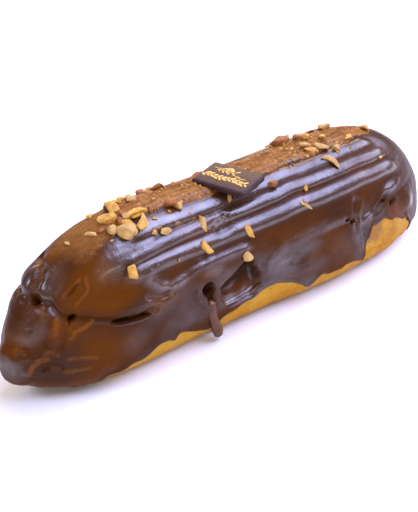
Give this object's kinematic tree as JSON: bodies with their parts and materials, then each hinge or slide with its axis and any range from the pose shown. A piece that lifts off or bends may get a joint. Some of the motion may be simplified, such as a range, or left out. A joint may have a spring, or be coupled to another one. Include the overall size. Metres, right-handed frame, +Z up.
{
  "type": "eclair",
  "caption": "Long choux pastry with rounded ends under a wavy-hemmed skin of dark chocolate icing, with chopped hazelnuts and a flat chocolate plaque on the crest.",
  "frame": {"origin": "middle of the overall box on the flat base that the pastry rests on", "axes": "+X along the length towards the end with the bare crust patch, -Y to the front with the drip and the torn pocket, +Z up"},
  "size_m": [0.1502, 0.0418, 0.0417],
  "materials": {
    "choux": "baked golden crust",
    "chocolate": "glossy dark chocolate",
    "plaque_chocolate": "smooth moulded chocolate"
  },
  "bodies": {
    "root": {"choux_bun": "choux", "chocolate_icing": "chocolate", "chocolate_plaque": "plaque_chocolate"}
  },
  "joints": []
}
